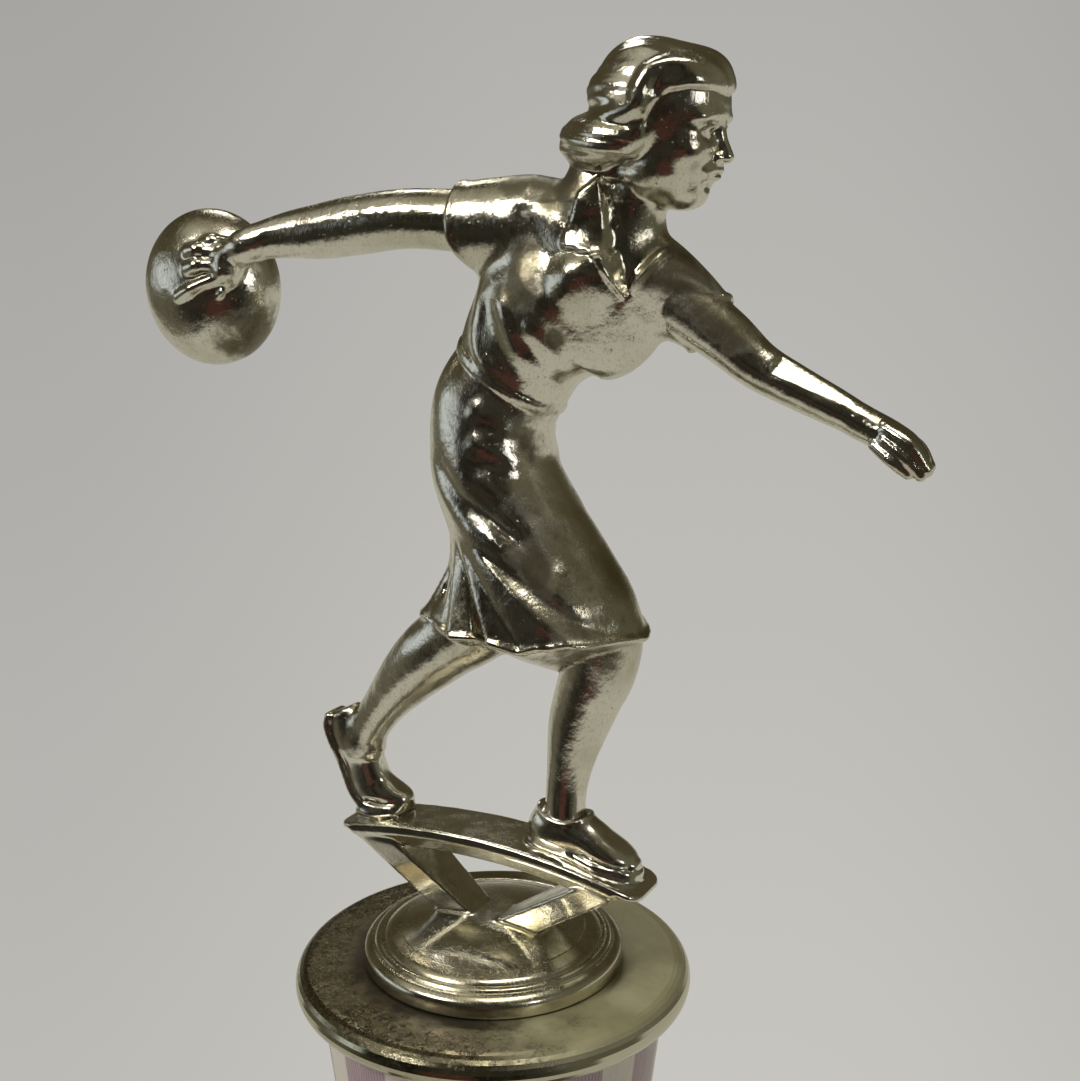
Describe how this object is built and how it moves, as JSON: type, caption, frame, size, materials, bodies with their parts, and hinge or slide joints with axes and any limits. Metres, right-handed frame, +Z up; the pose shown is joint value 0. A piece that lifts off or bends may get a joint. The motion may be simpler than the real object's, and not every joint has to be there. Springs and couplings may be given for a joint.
{
  "type": "bowling trophy",
  "caption": "Tall trophy: a plated woman bowler swinging her ball back, on a stepped disc, a capped tapering striped column and a bevelled wooden block.",
  "frame": {"origin": "centre of the underside of the felt pad, on the tie rod's axis", "axes": "+Z up along the tie rod, +X the way the bowler faces and strides, -Y the front, where the nameplate is"},
  "size_m": [0.1222, 0.0735, 0.2527],
  "materials": {
    "figure_plating": "bright plating over a zinc casting, gone warm and spotted with olive tarnish",
    "cap_plating": "plated sheet, yellowed and dulled on top, brighter at the rolled edge",
    "collar_plating": "plated sheet with light tarnish",
    "striped_plastic": "pearly celluloid in mauve and cream stripes",
    "fibreboard": "wound paperboard",
    "turned_wood": "plain turned softwood",
    "walnut": "stained and lacquered, worn at the edges",
    "felt": "pressed wool felt",
    "nameplate_metal": "brushed and lacquered, blank",
    "pin_brass": "polished domed heads",
    "zinced_steel": "zinc plated, dull"
  },
  "bodies": {
    "base": {"walnut_base": "walnut", "felt_pad": "felt", "nameplate": "nameplate_metal", "nameplate_pins": "pin_brass"},
    "column": {"bottom_collar": "collar_plating", "bottom_plug": "turned_wood", "column_core": "fibreboard", "column_sleeve": "striped_plastic", "top_plug": "turned_wood", "column_cap": "cap_plating"},
    "figure": {"bowler_figure": "figure_plating", "tie_rod": "zinced_steel", "flat_washer": "zinced_steel", "lock_washer": "zinced_steel", "clamp_nut": "zinced_steel"}
  },
  "joints": [
    {"name": "column_turn", "type": "hinge", "parent": "base", "child": "column", "pos_m": [0, 0, 0.0265], "axis": [0, 0, 1], "continuous": true},
    {"name": "figure_swivel", "type": "hinge", "parent": "column", "child": "figure", "pos_m": [0, 0, 0.1183], "axis": [0, 0, 1], "continuous": true}
  ]
}
